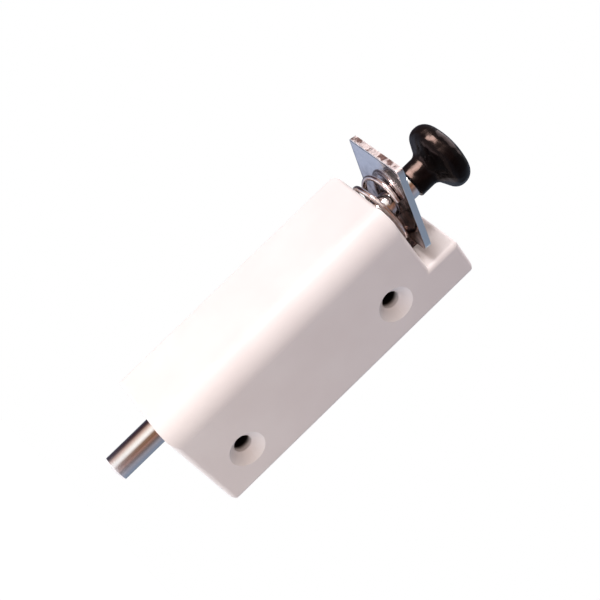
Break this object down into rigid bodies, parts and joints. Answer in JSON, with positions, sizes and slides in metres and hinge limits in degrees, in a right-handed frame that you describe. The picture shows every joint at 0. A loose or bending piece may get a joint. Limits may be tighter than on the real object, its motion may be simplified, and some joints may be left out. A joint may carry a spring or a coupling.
{
  "type": "sliding patio door lock",
  "caption": "Surface-mounted patio door lock: a round bolt with a mushroom knob slides through a cast housing and is gripped by a canted, sprung release plate.",
  "frame": {"origin": "middle of the line between the two screw holes, on the face that meets the door", "axes": "+Z along the bolt towards the knob, +Y into the door, so the screw heads face -Y; the bolt lies on the -X side of the screws"},
  "size_m": [0.0356, 0.0231, 0.1045],
  "materials": {
    "housing": "smooth white enamel on die-cast zinc",
    "bolt": "bright plated steel rod",
    "ring": "dark spring steel",
    "washer": "zinc-plated steel",
    "plate": "polished plated steel with plain sheared edges",
    "spring": "bright spring wire",
    "knob": "glossy black moulding",
    "insert": "turned brass"
  },
  "bodies": {
    "housing": {"housing": "housing"},
    "bolt_carrier": {"retaining_ring": "ring", "stop_washer": "washer"},
    "bolt": {"bolt": "bolt", "knob": "knob", "knob_insert": "insert"},
    "plate": {"release_plate": "plate", "plate_spring": "spring"}
  },
  "joints": [
    {"name": "bolt_slide", "type": "slide", "parent": "housing", "child": "bolt_carrier", "axis": [0, 0, 1], "range_m": [0, 0.0135]},
    {"name": "knob_turn", "type": "hinge", "parent": "bolt_carrier", "child": "bolt", "pos_m": [-0.0122, -0.01105, 0], "axis": [0, 0, 1], "continuous": true},
    {"name": "plate_tilt", "type": "hinge", "parent": "housing", "child": "plate", "pos_m": [0.00075, -0.01105, 0.03578], "axis": [0, -1, 0], "range_deg": [0, 7], "stiffness_Nm_per_rad": 0.17, "springref_deg": -8.59, "deforming": ["plate_spring"]}
  ]
}
